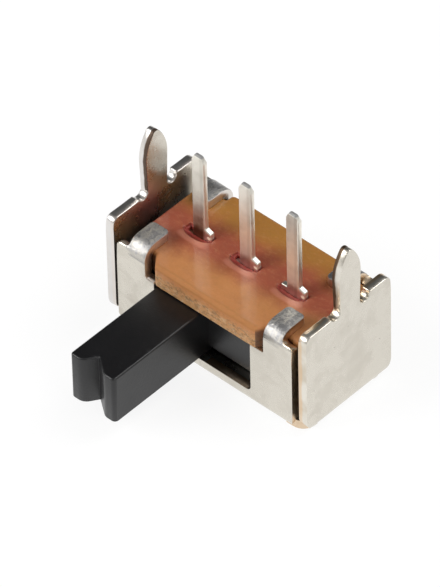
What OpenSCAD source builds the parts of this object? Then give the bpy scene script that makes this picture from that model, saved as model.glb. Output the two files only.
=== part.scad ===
// Slide switch with a side lever, for a circuit board.
// A folded, tin-plated steel frame holds a laminate terminal board with three
// flat terminals. A moulded slider with a long lever runs along the frame and
// carries a sprung clip that joins the middle terminal to the left or right one.
// It lies on the frame's base with the terminals up. The lever points to -Y
// and slides along X. The origin is the middle of the base's underside.

/* [Frame] */
// Length over the two end walls
body_length = 8.54; // [8.4:0.02:9.4]
// Depth over the front and back walls
body_depth = 4.16; // [4.1:0.02:4.8]
// Thickness of the folded sheet
sheet = 0.34; // [0.28:0.01:0.4]
// Inside radius of the folds along the base
fold_inside = 0.05; // [0.03:0.01:0.1]
// How far the end walls' edges stand back from the front and back faces
end_wall_inset = 0.1; // [0.05:0.01:0.15]
// Gap between the front and back walls' edges and the end walls
corner_gap = 0.2; // [0.12:0.01:0.3]
// Height of the end walls' shoulders above the terminal board
seat_rise = 0.7; // [0.6:0.05:1]
// Radius of the end walls' upper corners
seat_corner_radius = 0.25; // [0.1:0.01:0.3]
// Radius of the end walls' lower corners
end_corner_radius = 0.65; // [0.4:0.05:0.7]
// Radius of the front and back walls' lower corners
side_corner_radius = 0.4; // [0.3:0.05:0.5]
// Radius of the front and back walls' upper corners
side_top_radius = 0.14; // [0.08:0.01:0.2]
// Height of the window's sill above the inside of the base
sill_rise = 0.23; // [0.1:0.01:0.3]
// Radius of the window's lower corners
window_radius = 0.18; // [0.1:0.01:0.2]
// How far the base's flat corners stand back from the walls' faces
foot_inset = 0.16; // [0.1:0.01:0.2]
// Radius of the base's flat corners
foot_radius = 0.5; // [0.4:0.05:0.6]

/* [Prongs] */
// Height of the prongs above the shoulders
prong_height = 2.42; // [2:0.02:3]
// Width of a prong at its widest
prong_width = 1.0; // [0.94:0.02:1.1]
// Width of a prong at its root
prong_neck = 0.9; // [0.7:0.02:0.92]
// Height of the widest place above the shoulders
prong_bulge = 1.3; // [1.1:0.05:1.5]
// How far the prongs stand towards the back from the end walls' middle
prong_shift = 0.1; // [0:0.02:0.16]
// Radius of a prong's tip
prong_tip_radius = 0.17; // [0.1:0.01:0.25]
// Width of the relief notches beside a prong's root
notch_width = 0.44; // [0.3:0.02:0.5]
// Depth of the relief notch on the lever's side
front_notch_depth = 0.12; // [0.08:0.01:0.2]
// Depth of the relief notch on the other side
back_notch_depth = 0.27; // [0.2:0.01:0.32]

/* [Crimp tabs] */
// Width of a tab that is folded over the board
tab_width = 0.76; // [0.6:0.02:0.84]
// Reach of a tab from the wall's outer face
tab_reach = 1.22; // [1:0.02:1.3]
// Inside radius of a tab's fold
tab_fold = 0.1; // [0.06:0.01:0.15]
// Radius of a tab's end corners
tab_corner_radius = 0.24; // [0.1:0.01:0.28]
// Width of the wall's shoulder outside a tab
tab_shoulder = 0.46; // [0.36:0.02:0.48]
// Height of that shoulder above the board
shoulder_rise = 0.02; // [0:0.01:0.1]

/* [Terminal board] */
// Height of the space under the board
cavity_height = 2.3; // [2.26:0.02:2.8]
// Thickness of the board
board_thickness = 0.86; // [0.6:0.02:1]
// How far the board sits towards the lever's side
board_forward = 0.06; // [0:0.01:0.08]
// How far the board sits to the right
board_right = 0.08; // [0:0.01:0.1]
// Gap between the board's ends and the end walls
board_end_gap = 0.32; // [0.1:0.02:0.4]
// How far the board's long edges stand back from the walls' faces
board_inset = 0.04; // [0.02:0.01:0.1]
// Gap between a tab and the board's wide middle
board_tab_gap = 0.22; // [0.06:0.02:0.3]
// Width of the sunk rim around a terminal's slot
rim_width = 0.12; // [0.06:0.01:0.16]
// Depth of that rim
rim_depth = 0.12; // [0.06:0.01:0.2]

/* [Terminals] */
// Distance between terminals, which is the lever's travel too
pitch = 2.0; // [1.9:0.02:2.06]
// Width of a pin
pin_width = 0.52; // [0.4:0.02:0.6]
// Thickness of the terminals' sheet
pin_thickness = 0.2; // [0.16:0.01:0.26]
// Height of the pins above the board
pin_height = 3.36; // [2.8:0.04:4]
// Height of the taper at a pin's tip
pin_taper = 0.24; // [0.16:0.01:0.36]
// Width of a blade inside and through the board
blade_width = 1.0; // [0.9:0.02:1.1]
// Reach of a blade below the board
blade_drop = 1.25; // [1.1:0.01:1.3]
// Width of the flange under the board
flange_width = 1.3; // [1.2:0.02:1.5]
// Height of the flange
flange_height = 0.18; // [0.1:0.02:0.2]
// Height above the board of the ear on a pin's right side
high_ear = 0.33; // [0.2:0.01:0.36]
// Fall of that ear's top away from the pin
ear_slope = 0.1; // [0:0.01:0.14]
// How far the blade stays below the board's top on a pin's left side
left_drop = 0.04; // [0:0.01:0.1]

/* [Slider and lever] */
// Width of the lever
lever_width = 1.88; // [1.6:0.02:1.9]
// How far the lever stands to the left on the slider, and its window with it
lever_left = 0.1; // [0:0.02:0.12]
// Reach of the lever beyond the front wall
lever_reach = 3.97; // [2:0.01:6]
// Height of the lever's underside above the window's sill
lever_rise = 0.13; // [0.05:0.01:0.2]
// Radius of the lever's long upper edges
lever_edge_radius = 0.1; // [0.04:0.01:0.16]
// Depth of the groove in the lever's end
groove_depth = 0.42; // [0.2:0.01:0.42]
// Width of the groove's floor, as if it were cut to the ridges' full radius
groove_floor = 0.2; // [0.02:0.02:0.2]
// Radius of the two ridges beside the groove
ridge_radius = 0.6; // [0.46:0.01:0.6]
// Radius of the lever's outer corners
lever_corner_radius = 0.18; // [0.1:0.01:0.24]
// Gap between the slider's body and an end wall at the end of its travel
slider_end_gap = 0.28; // [0.18:0.02:0.48]
// Thickness of the body under the clip
slider_web = 0.42; // [0.36:0.01:0.46]
// Height of the step along the body's lower edges
step_height = 0.54; // [0.3:0.02:0.6]
// Depth of that step
step_depth = 0.36; // [0.2:0.02:0.5]
// Running clearance of the slider
slide_gap = 0.05; // [0.03:0.01:0.06]
// Free play of the lever at each end of the window
lever_play = 0.1; // [0.04:0.01:0.12]

/* [Contact clip] */
// Thickness of the clip's strip
clip_sheet = 0.12; // [0.08:0.01:0.13]
// Width over the clip's side walls
clip_width = 1.0; // [0.9:0.02:1.1]
// Gap between the clip's top and the terminals' flanges
clip_clearance = 0.17; // [0.1:0.01:0.3]
// Clearance between the clip's waves and a blade
clip_gap = 0.02; // [0.01:0.005:0.03]
// Half length of one wave
wave_half = 0.45; // [0.4:0.01:0.46]
// Straight length at each end of the clip's walls
clip_tail = 0.3; // [0.2:0.02:0.34]
// Height of the lips that keep the clip in the slider
clip_lip = 0.26; // [0.16:0.02:0.3]

/* [Hidden] */
$fn = 48;
fit = 0.02;             // clearance of a piece that is pressed or set in another
over = 0.5;             // how far a cutting shape runs past what it cuts
half_length = body_length / 2;
half_depth = body_depth / 2;
inner_length = half_length - sheet;
inner_depth = half_depth - sheet;
fold_radius = fold_inside + sheet;
end_half = half_depth - end_wall_inset;
wall_half = inner_length - corner_gap;
board_bottom = sheet + cavity_height;
board_top = board_bottom + board_thickness;
seat_height = board_top + seat_rise;
wall_top = board_top + shoulder_rise;
sill_top = sheet + sill_rise;
window_half = (lever_width + pitch) / 2 + lever_play;
tab_root = board_top - tab_fold;
tab_outer = wall_half - tab_shoulder;
tab_inner = tab_outer - tab_width;
tab_middle = (tab_inner + tab_outer) / 2;
board_wide = tab_inner - board_tab_gap;
slot_x = blade_width + 2 * fit;
slot_y = pin_thickness + 2 * fit;
rest_x = -pitch / 2;    // where the slider's middle is in the modelled position
slider_bottom = sheet + slide_gap;
slider_top = board_bottom - slide_gap;
slider_half_depth = inner_depth - slide_gap;
slider_length = 2 * (inner_length - slider_end_gap) - pitch;
channel_floor = slider_bottom + slider_web;
channel_half = clip_width / 2 + fit;
lever_bottom = sill_top + lever_rise;
lever_tip = -half_depth - lever_reach;
clip_top = board_bottom - flange_height - clip_clearance;
clip_half = pitch / 2 + wave_half + clip_tail;
wave_depth = clip_width / 2 - clip_sheet - pin_thickness / 2 - clip_gap;
wave_steps = 9;         // flats along one half of a wave
tin = [0.80, 0.79, 0.76];
laminate = [0.68, 0.43, 0.22];
silver = [0.83, 0.82, 0.78];
black = [0.06, 0.06, 0.065];
bronze = [0.78, 0.62, 0.42];

// Lays a profile drawn in Y and Z along X, or one drawn in X and Z along Y.
module along_x(length) rotate([90, 0, 90]) linear_extrude(length, center = true) children();
module along_y(length) rotate([90, 0, 0]) linear_extrude(length, center = true) children();

// A rectangle about the origin, given by its half sizes, with round corners.
module rounded_area(half_x, half_y, radius) {
    square([2 * half_x, 2 * (half_y - radius)], center = true);
    square([2 * (half_x - radius), 2 * half_y], center = true);
    for (x = [-1, 1], y = [-1, 1])
        translate([x * (half_x - radius), y * (half_y - radius)]) circle(radius);
}

// A rectangle that stands on the axis, with one radius below and another above.
module panel_area(half, top, lower, upper) {
    translate([-half, lower]) square([2 * half, top - lower - upper]);
    translate([-half + lower, 0]) square([2 * (half - lower), top / 2]);
    translate([-half + upper, top / 2]) square([2 * (half - upper), top / 2]);
    for (side = [-1, 1]) {
        translate([side * (half - lower), lower]) circle(lower);
        translate([side * (half - upper), top - upper]) circle(upper);
    }
}

// The section of a sheet folded up at both sides. The sides run past top.
module folded_area(half, top) {
    difference() {
        panel_area(half, top + 2 * over, fold_radius, fold_inside);
        translate([0, sheet]) panel_area(half - sheet, top + 2 * over, fold_inside, fold_inside);
    }
}

// A leaf-shaped prong. Two large arcs run from its widest place into the tip's own arc.
module prong_area() translate([prong_shift, 0]) {
    half = prong_width / 2;
    bulge_z = seat_height + prong_bulge;
    rise = prong_height - prong_bulge - prong_tip_radius;
    side_radius = (half * half + rise * rise - pow(prong_tip_radius, 2)) / (2 * (half - prong_tip_radius));
    join_z = bulge_z + rise * (1 + prong_tip_radius / (side_radius - prong_tip_radius));
    polygon([[-prong_neck / 2, seat_height - over], [prong_neck / 2, seat_height - over],
             [half, bulge_z], [-half, bulge_z]]);
    intersection() {
        translate([half - side_radius, bulge_z]) circle(side_radius, $fn = 128);
        translate([side_radius - half, bulge_z]) circle(side_radius, $fn = 128);
        translate([-half, bulge_z]) square([prong_width, join_z - bulge_z]);
    }
    translate([0, bulge_z + rise]) circle(prong_tip_radius);
}

// A round-bottomed relief notch beside the prong, at the given side and depth.
module notch_area(side, depth) {
    translate([prong_shift + side * (prong_neck + notch_width) / 2, seat_height - depth + notch_width / 2]) {
        circle(notch_width / 2);
        translate([-notch_width / 2, 0]) square([notch_width, over]);
    }
}

// An end wall with its two shoulders, relief notches and prong.
module end_wall_area() {
    difference() {
        panel_area(end_half, seat_height, end_corner_radius, seat_corner_radius);
        notch_area(-1, front_notch_depth);
        notch_area(1, back_notch_depth);
    }
    prong_area();
}

// A front or back wall: two columns, each with a ledge for the board and a tab's root.
module side_wall_area(window) {
    difference() {
        panel_area(wall_half, wall_top, side_corner_radius, side_top_radius);
        translate([-tab_outer, tab_root]) square([2 * tab_outer, over]);
        translate([-tab_inner, board_bottom]) square([2 * tab_inner, board_thickness]);
        if (window) translate([-lever_left, sill_top + board_top])
            rounded_area(window_half, board_top, window_radius);
    }
}

// A tab that rises from the front wall and folds back over the board.
module crimp_tab() {
    outside = tab_fold + sheet;
    fold_y = -inner_depth + tab_fold;
    reach_half = (tab_reach + over) / 2;
    intersection() {
        along_x(tab_width) {
            translate([-half_depth, tab_root - sheet]) square(sheet);
            translate([fold_y, board_top]) square([tab_reach, sheet]);
            intersection() {
                translate([fold_y, tab_root]) difference() {
                    circle(outside);
                    circle(tab_fold);
                }
                translate([-half_depth, tab_root]) square(outside);
            }
        }
        translate([0, tab_reach - half_depth - reach_half, 0]) linear_extrude(seat_height)
            rounded_area(tab_width / 2, reach_half, tab_corner_radius);
    }
}

// One folded sheet: base, end walls with prongs, front and back walls, four tabs.
module frame() {
    foot_x = half_length - foot_inset;
    foot_y = half_depth - foot_inset;
    color(tin) union() {
        intersection() {
            along_y(body_depth) folded_area(half_length, seat_height + prong_height);
            along_x(body_length) end_wall_area();
        }
        intersection() {
            along_x(2 * wall_half) folded_area(half_depth, wall_top);
            union() {
                translate([0, -half_depth / 2, 0]) along_y(half_depth) side_wall_area(true);
                translate([0, half_depth / 2, 0]) along_y(half_depth) side_wall_area(false);
            }
        }
        // flat corners of the base, where no wall is folded up
        linear_extrude(sheet) intersection() {
            rounded_area(foot_x, foot_y, foot_radius);
            for (x = [-1, 1], y = [-1, 1])
                translate([x * (wall_half - side_corner_radius + foot_x) / 2,
                           y * (end_half - end_corner_radius + foot_y) / 2])
                    square([foot_x - wall_half + side_corner_radius,
                            foot_y - end_half + end_corner_radius], center = true);
        }
        for (turn = [0, 180], side = [-1, 1])
            rotate([0, 0, turn]) translate([side * tab_middle, 0, 0]) crimp_tab();
    }
}

// Flat board with a wide middle between the tabs and three slots with sunk rims.
module terminal_board() {
    color(laminate) difference() {
        translate([board_right, -board_forward, board_bottom]) linear_extrude(board_thickness) {
            square([2 * board_wide, 2 * (half_depth - board_inset)], center = true);
            square([2 * (inner_length - board_end_gap), 2 * (inner_depth - tab_fold - board_forward)],
                   center = true);
        }
        for (place = [-1, 0, 1]) translate([place * pitch, 0, 0]) {
            translate([-slot_x / 2, -slot_y / 2, board_bottom - over])
                cube([slot_x, slot_y, board_thickness + 2 * over]);
            along_x(slot_x + rim_width)
                polygon([[-slot_y / 2, board_top - rim_depth], [slot_y / 2, board_top - rim_depth],
                         [slot_y / 2 + rim_width, board_top], [slot_y / 2 + rim_width, board_top + over],
                         [-slot_y / 2 - rim_width, board_top + over], [-slot_y / 2 - rim_width, board_top]]);
        }
    }
}

// Outline of a terminal: blade, flange, ear and pin, drawn in X and Z.
module terminal_area() {
    pin_top = board_top + pin_height;
    blade_bottom = board_bottom - blade_drop;
    chamfer = blade_width / 6;
    tip = pin_width / 4;
    polygon([[-blade_width / 2 + chamfer, blade_bottom], [blade_width / 2 - chamfer, blade_bottom],
             [blade_width / 2, blade_bottom + chamfer],
             [blade_width / 2, board_top + high_ear - ear_slope],
             [pin_width / 2, board_top + high_ear],
             [0, board_top + high_ear], [0, board_top - left_drop],
             [-blade_width / 2, board_top - left_drop], [-blade_width / 2, blade_bottom + chamfer]]);
    translate([-flange_width / 2, board_bottom - flange_height]) square([flange_width, flange_height]);
    polygon([[-pin_width / 2, board_bottom], [pin_width / 2, board_bottom],
             [pin_width / 2, pin_top - pin_taper], [tip, pin_top],
             [-tip, pin_top], [-pin_width / 2, pin_top - pin_taper]]);
}

// The pin's taper as seen from the side.
module terminal_side_area() {
    pin_top = board_top + pin_height;
    half = pin_thickness / 2;
    polygon([[-half, 0], [half, 0], [half, pin_top - pin_taper / 2], [half / 2, pin_top],
             [-half / 2, pin_top], [-half, pin_top - pin_taper / 2]]);
}

module terminal(place) {
    color(silver) translate([place * pitch, 0, 0]) intersection() {
        along_y(pin_thickness) terminal_area();
        along_x(flange_width) terminal_side_area();
    }
}

// The lever from above. Two ridges with a groove between them shape its end.
module lever_area() {
    ridge_y = lever_tip + ridge_radius;
    corner_x = lever_width / 2 - lever_corner_radius;
    root_y = -slider_half_depth + step_depth;
    ridge_x = ridge_radius + groove_floor / 2;
    difference() {
        union() {
            translate([-lever_width / 2, lever_tip + lever_corner_radius])
                square([lever_width, root_y - lever_tip - lever_corner_radius]);
            translate([-corner_x, lever_tip]) square([2 * corner_x, ridge_radius]);
            for (side = [-1, 1])
                translate([side * corner_x, lever_tip + lever_corner_radius]) circle(lever_corner_radius);
        }
        difference() {
            translate([-ridge_x, lever_tip - over]) square([2 * ridge_x, groove_depth + over]);
            for (side = [-1, 1]) translate([side * ridge_x, ridge_y]) circle(ridge_radius);
        }
    }
}

// Moulded slider: lever, body, and the channel that the clip and blades run in.
module slide_lever() {
    body_height = slider_top - slider_bottom;
    cut_length = slider_length + 2 * over;
    color(black) translate([rest_x, 0, 0]) {
        translate([-lever_left, 0, 0]) intersection() {
            translate([0, 0, lever_bottom]) linear_extrude(slider_top - lever_bottom) lever_area();
            along_y(-2 * lever_tip)
                panel_area(lever_width / 2, slider_top, lever_edge_radius, lever_edge_radius);
        }
        difference() {
            along_x(slider_length) difference() {
                translate([-slider_half_depth, slider_bottom]) square([2 * slider_half_depth, body_height]);
                for (side = [-1, 1]) translate([side * slider_half_depth, slider_bottom])
                    square(2 * [step_depth, step_height], center = true);
            }
            along_x(cut_length) translate([-channel_half, channel_floor + clip_lip])
                square([2 * channel_half, body_height]);
            along_x(2 * (clip_half + fit)) translate([-channel_half, channel_floor])
                square([2 * channel_half, body_height]);
        }
    }
}

// Sum of the clip's three waves at a place along it, from 0 to 1, and its slope.
function wave(x) = abs(x) >= wave_half ? 0 : (1 + cos(180 * x / wave_half)) / 2;
function wave_slope(x) = abs(x) >= wave_half ? 0 : -PI / (2 * wave_half) * sin(180 * x / wave_half);
function waves(x) = wave(x + pitch / 2) + wave(x) + wave(x - pitch / 2);
function waves_slope(x) = wave_slope(x + pitch / 2) + wave_slope(x) + wave_slope(x - pitch / 2);

// Side wall of the clip from above: three waves bend in towards the blades.
module clip_wall_area() {
    inner = clip_width / 2 - clip_sheet;
    stops = concat([-clip_half],
                   [for (place = [-1, 0, 1], k = [-wave_steps:wave_steps])
                        place * pitch / 2 + k * wave_half / wave_steps],
                   [clip_half]);
    inside = [for (x = stops) [x, inner - wave_depth * waves(x)]];
    outside = [for (x = stops)
        let (slope = -wave_depth * waves_slope(x), long = sqrt(1 + slope * slope))
            [x - clip_sheet * slope / long, inner - wave_depth * waves(x) + clip_sheet / long]];
    polygon(concat(inside, [for (k = [len(outside) - 1:-1:0]) outside[k]]));
}

// Folded strip: a flat base and two waved side walls that grip the blades.
module contact_clip() {
    color(bronze) translate([rest_x, 0, channel_floor]) {
        translate([-clip_half, -clip_width / 2, 0]) cube([2 * clip_half, clip_width, clip_sheet]);
        linear_extrude(clip_top - channel_floor) {
            clip_wall_area();
            mirror([0, 1]) clip_wall_area();
        }
    }
}

frame();
terminal_board();
terminal(-1);  // terminal_left
terminal(0);  // terminal_middle
terminal(1);  // terminal_right
slide_lever();
contact_clip();
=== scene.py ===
"""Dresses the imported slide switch: folded sheet frame, board, terminals and lever.

The sizes and colours that a user would change sit in the property groups. Shapes are worked
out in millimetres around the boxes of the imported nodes, and scaled to metres when a piece is
finished. The finishes are procedural and lie in each piece's own coordinates.
"""

import math

import bmesh
import bpy
from bpy.props import FloatProperty, FloatVectorProperty, PointerProperty
from mathutils import Matrix, Vector


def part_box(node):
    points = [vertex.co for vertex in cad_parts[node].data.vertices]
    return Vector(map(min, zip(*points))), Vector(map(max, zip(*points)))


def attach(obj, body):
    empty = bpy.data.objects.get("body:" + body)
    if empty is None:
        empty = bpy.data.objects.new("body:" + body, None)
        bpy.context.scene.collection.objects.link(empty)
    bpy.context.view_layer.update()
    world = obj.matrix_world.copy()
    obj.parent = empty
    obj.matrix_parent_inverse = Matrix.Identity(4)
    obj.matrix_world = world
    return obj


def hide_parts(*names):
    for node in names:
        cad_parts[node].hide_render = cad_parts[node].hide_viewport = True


bl_info = {
    "name": "Slide switch",
    "version": (1, 0, 0),
    "blender": (4, 5, 0),
    "location": "3D View > Sidebar > Slide switch",
    "description": "Builds the dressed slide switch around its packed frame",
    "category": "Object",
}

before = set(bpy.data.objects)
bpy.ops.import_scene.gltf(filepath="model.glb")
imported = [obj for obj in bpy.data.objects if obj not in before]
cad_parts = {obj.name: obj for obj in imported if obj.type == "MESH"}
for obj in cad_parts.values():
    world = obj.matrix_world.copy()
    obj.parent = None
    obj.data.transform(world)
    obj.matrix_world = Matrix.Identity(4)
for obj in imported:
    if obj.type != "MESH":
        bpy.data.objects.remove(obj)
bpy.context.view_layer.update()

TERMINALS = ("terminal_left", "terminal_middle", "terminal_right")
QUARTER = math.pi / 2


def mm(metres):
    """A length in millimetres."""
    return metres * 1000


def node_box(name):
    """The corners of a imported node, in millimetres."""
    low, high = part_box(name)
    return mm(low), mm(high)


def pin_row():
    """The middles (x, y) of the three terminals, in millimetres."""
    boxes = [node_box(name) for name in TERMINALS]
    return [((low.x + high.x) / 2, (low.y + high.y) / 2) for low, high in boxes]


# -------------------------------- sizes and colours


class SheetSizes(bpy.types.PropertyGroup):
    sheet: FloatProperty(
        name="Sheet", description="Thickness of the folded sheet", default=0.34e-3, unit="LENGTH"
    )
    fold_radius: FloatProperty(
        name="Fold", description="Outside radius of the folds along the base",
        default=0.39e-3, unit="LENGTH",
    )
    tab_fold: FloatProperty(
        name="Tab fold", description="Outside radius of a tab's fold", default=0.56e-3, unit="LENGTH"
    )
    edge_round: FloatProperty(
        name="Edge wear", description="Rounding of the sheared edges", default=0.04e-3, unit="LENGTH"
    )
    tin: FloatVectorProperty(
        name="Tin", description="Colour of the tin plate",
        default=(0.7, 0.662, 0.585), subtype="COLOR", size=3,
    )
    dull: FloatVectorProperty(
        name="Dull", description="Colour of the dulled patches",
        default=(0.57, 0.53, 0.46), subtype="COLOR", size=3,
    )
    # used for the press marks on the tabs' tops, darkened as painted dark reflection, and for painted shade
    # under the bends
    pressed_and_shaded: FloatVectorProperty(
        name="Pressed", description="Colour of the tabs where the press marked them",
        default=(0.29, 0.285, 0.285), subtype="COLOR", size=3,
    )
    bend: FloatVectorProperty(
        name="Bend", description="Colour of the tabs' bends",
        default=(0.4, 0.4, 0.42), subtype="COLOR", size=3,
    )
    speck: FloatVectorProperty(
        name="Speck", description="Colour of the small pits",
        default=(0.16, 0.14, 0.12), subtype="COLOR", size=3,
    )
    roughness: FloatProperty(
        name="Roughness", description="Roughness of the clean plate",
        default=0.24, min=0.0, max=1.0, subtype="FACTOR",
    )


class BoardSizes(bpy.types.PropertyGroup):
    top_round: FloatProperty(
        name="Top edge", description="Rounding of the board's punched upper edge",
        default=0.13e-3, unit="LENGTH",
    )
    middle: FloatVectorProperty(
        name="Middle", description="Colour along the row of pins",
        default=(0.34, 0.078, 0.04), subtype="COLOR", size=3,
    )
    front: FloatVectorProperty(
        name="Front", description="Colour on the lever's side",
        default=(0.53, 0.22, 0.075), subtype="COLOR", size=3,
    )
    behind: FloatVectorProperty(
        name="Behind", description="Colour on the other side",
        default=(0.41, 0.18, 0.034), subtype="COLOR", size=3,
    )
    edge: FloatVectorProperty(
        name="Edge", description="Colour of the sawn edges",
        default=(0.56, 0.31, 0.14), subtype="COLOR", size=3,
    )
    deep: FloatVectorProperty(
        name="Deep", description="Colour inside the slots",
        default=(0.4, 0.055, 0.045), subtype="COLOR", size=3,
    )


class PinSizes(bpy.types.PropertyGroup):
    pin_width: FloatProperty(name="Width", description="Width of a pin", default=0.52e-3, unit="LENGTH")
    edge_round: FloatProperty(
        name="Edge", description="Rounding of a pin's edges", default=0.04e-3, unit="LENGTH"
    )
    silver: FloatVectorProperty(
        name="Plating", description="Colour of the pins' plating",
        default=(0.95, 0.92, 0.835), subtype="COLOR", size=3,
    )


class LeverSizes(bpy.types.PropertyGroup):
    side_round: FloatProperty(
        name="Side edges", description="Rounding of the lever's long upper edges",
        default=0.08e-3, unit="LENGTH",
    )
    tip_round: FloatProperty(
        name="Tip edges", description="Rounding of the upper edges at the lever's end",
        default=0.07e-3, unit="LENGTH",
    )
    black: FloatVectorProperty(
        name="Black", description="Colour of the moulding",
        default=(0.0036, 0.0036, 0.0045), subtype="COLOR", size=3,
    )
    roughness: FloatProperty(
        name="Roughness", description="Roughness of the moulding",
        default=0.42, min=0.0, max=1.0, subtype="FACTOR",
    )


class StageSizes(bpy.types.PropertyGroup):
    floor_size: FloatProperty(
        name="Floor", description="Length of the floor's sides", default=3.0, unit="LENGTH"
    )
    azimuth: FloatProperty(
        name="Azimuth", description="Camera's direction round the switch",
        default=math.radians(43.530), subtype="ANGLE",
    )
    elevation: FloatProperty(
        name="Elevation", description="Camera's angle above the floor",
        default=math.radians(44.181), subtype="ANGLE",
    )
    roll: FloatProperty(
        name="Roll", description="Turn of the camera about its view",
        default=math.radians(-1.413), subtype="ANGLE",
    )


# -------------------------------- outlines


def arc(centre, radius, start, end, steps=12):
    """Points along an arc, angles in degrees, both ends included."""
    points = []
    for k in range(steps + 1):
        angle = math.radians(start + (end - start) * k / steps)
        points.append((centre[0] + radius * math.cos(angle), centre[1] + radius * math.sin(angle)))
    return points


def rounded(corners, steps=8):
    """An outline through corners given as (u, v, radius), with each corner rounded."""
    points = []
    count = len(corners)
    for k, (u, v, radius) in enumerate(corners):
        if radius <= 0:
            points.append((u, v))
            continue
        here = Vector((u, v))
        back = (Vector(corners[k - 1][:2]) - here).normalized()
        ahead = (Vector(corners[(k + 1) % count][:2]) - here).normalized()
        half = back.angle(ahead) / 2
        run = radius / math.tan(half)
        centre = here + (back + ahead).normalized() * (radius / math.sin(half))
        first, last = here + back * run - centre, here + ahead * run - centre
        sweep = first.angle_signed(last)
        for step in range(steps + 1):
            turned = first.copy()
            turned.rotate(Matrix.Rotation(-sweep * step / steps, 2))
            points.append(tuple(centre + turned))
    return points


# -------------------------------- solids


def slab(outline, low, high, place, side_material=0):
    """A closed solid: the outline between two heights, each point put in space by place(u, v, w)."""
    bm = bmesh.new()
    lower = [bm.verts.new((u, v, low)) for u, v in outline]
    upper = [bm.verts.new((u, v, high)) for u, v in outline]
    bm.faces.new(lower)
    bm.faces.new(upper)
    count = len(outline)
    for k in range(count):
        side = bm.faces.new((lower[k], lower[(k + 1) % count], upper[(k + 1) % count], upper[k]))
        side.material_index = side_material
    bmesh.ops.recalc_face_normals(bm, faces=bm.faces)
    for vert in bm.verts:
        vert.co = place(*vert.co)
    bmesh.ops.recalc_face_normals(bm, faces=bm.faces)
    return bm


def along_x(u, v, w):
    """Puts an outline (y, z) in space, drawn out along x."""
    return w, u, v


def along_y(u, v, w):
    """Puts an outline (x, z) in space, drawn out along y."""
    return u, w, v


def along_z(u, v, w):
    """Puts an outline (x, y) in space, drawn out along z."""
    return u, v, w


def box_solid(low, high):
    base = [(low[0], low[1]), (high[0], low[1]), (high[0], high[1]), (low[0], high[1])]
    return slab(base, low[2], high[2], along_z)


def combine(first, others, operation):
    """The first solid with the others joined to it or cut out of it."""
    base = scratch_object(first)
    for other in others:
        tool = scratch_object(other)
        change = base.modifiers.new("combine", "BOOLEAN")
        change.operation, change.solver, change.object = operation, "EXACT", tool
        mesh = evaluated(base)
        base.modifiers.clear()
        old = base.data
        base.data = mesh
        bpy.data.meshes.remove(old)
        discard(tool)
    bm = bmesh.new()
    bm.from_mesh(base.data)
    discard(base)
    return bm


def scratch_object(bm):
    """An object made of the solid, with room for two materials."""
    mesh = bpy.data.meshes.new("scratch")
    bm.to_mesh(mesh)
    bm.free()
    mesh.materials.append(None)
    mesh.materials.append(None)
    obj = bpy.data.objects.new("scratch", mesh)
    bpy.context.scene.collection.objects.link(obj)
    return obj


def evaluated(obj):
    """The object's mesh after its modifiers."""
    bpy.context.view_layer.update()
    graph = bpy.context.evaluated_depsgraph_get()
    return bpy.data.meshes.new_from_object(obj.evaluated_get(graph))


def discard(obj):
    """Removes an object and its mesh."""
    mesh = obj.data
    bpy.data.objects.remove(obj)
    bpy.data.meshes.remove(mesh)


def cleaned(bm, apart=0.002):
    """Merges doubled points, and faces that lie flat beside each other."""
    bmesh.ops.remove_doubles(bm, verts=bm.verts, dist=apart)
    bmesh.ops.dissolve_limit(bm, angle_limit=math.radians(0.6), verts=bm.verts, edges=bm.edges)
    bmesh.ops.dissolve_degenerate(bm, dist=apart, edges=bm.edges)
    bmesh.ops.recalc_face_normals(bm, faces=bm.faces)
    return bm


def crowned(outline, low, high, rounding, steps=5):
    """A standing solid with a rounded upper edge. rounding(u, v) is its radius at a point."""
    count = len(outline)
    inwards = []
    for k in range(count):
        before, here, after = (Vector(outline[(k + d) % count]) for d in (-1, 0, 1))
        first, second = (here - before).normalized(), (after - here).normalized()
        normal = Vector((-first.y - second.y, first.x + second.x))
        inwards.append(normal / (1 + first.dot(second)))
    ahead = outline[1:] + outline[:1]
    area = sum(u * next_v - v * next_u for (u, v), (next_u, next_v) in zip(outline, ahead))
    turn = 1 if area > 0 else -1
    bm = bmesh.new()
    rings = [[bm.verts.new((u, v, low)) for u, v in outline]]
    for step in range(steps + 1):
        angle = QUARTER * step / steps
        ring = []
        for (u, v), inward in zip(outline, inwards):
            radius = rounding(u, v)
            at = Vector((u, v)) + inward * turn * radius * (1 - math.cos(angle))
            ring.append(bm.verts.new((at.x, at.y, high - radius * (1 - math.sin(angle)))))
        rings.append(ring)
    bm.faces.new(rings[0])
    bm.faces.new(rings[-1])
    for lower, upper in zip(rings, rings[1:]):
        for k in range(count):
            bm.faces.new((lower[k], lower[(k + 1) % count], upper[(k + 1) % count], upper[k]))
    bmesh.ops.recalc_face_normals(bm, faces=bm.faces)
    return bm


def round_edges(bm, width, segments=2, limit=35, keep=None, material=-1):
    """Rounds the edges that turn by more than limit degrees, and where keep(point) says so."""
    sharp = [e for e in bm.edges if e.is_manifold and e.calc_face_angle() > math.radians(limit)]
    if keep:
        sharp = [e for e in sharp if all(keep(v.co) for v in e.verts)]
    bmesh.ops.bevel(
        bm, geom=sharp, offset=width, segments=segments, profile=0.5, affect="EDGES",
        clamp_overlap=False, material=material,
    )
    return bm


def finish_piece(bm, name, body, nodes, slot, *materials):
    """Scales the solid to metres, smooths its shading, gives it its materials, hangs it on its body and hides
    the nodes it stands for.
    """
    obj = scratch_object(bm)
    obj.data.transform(Matrix.Scale(0.001, 4))
    obj.name = obj.data.name = name
    for polygon in obj.data.polygons:
        polygon.use_smooth = True
    obj.data.set_sharp_from_angle(angle=math.radians(40))
    weighted = obj.modifiers.new("shading", "WEIGHTED_NORMAL")
    weighted.keep_sharp, weighted.weight = True, 60
    while len(obj.data.materials) > len(materials):
        obj.data.materials.pop()
    for k, material in enumerate(materials):
        obj.data.materials[k] = material
    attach(obj, body)
    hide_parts(*nodes)
    return obj


# -------------------------------- materials


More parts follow.
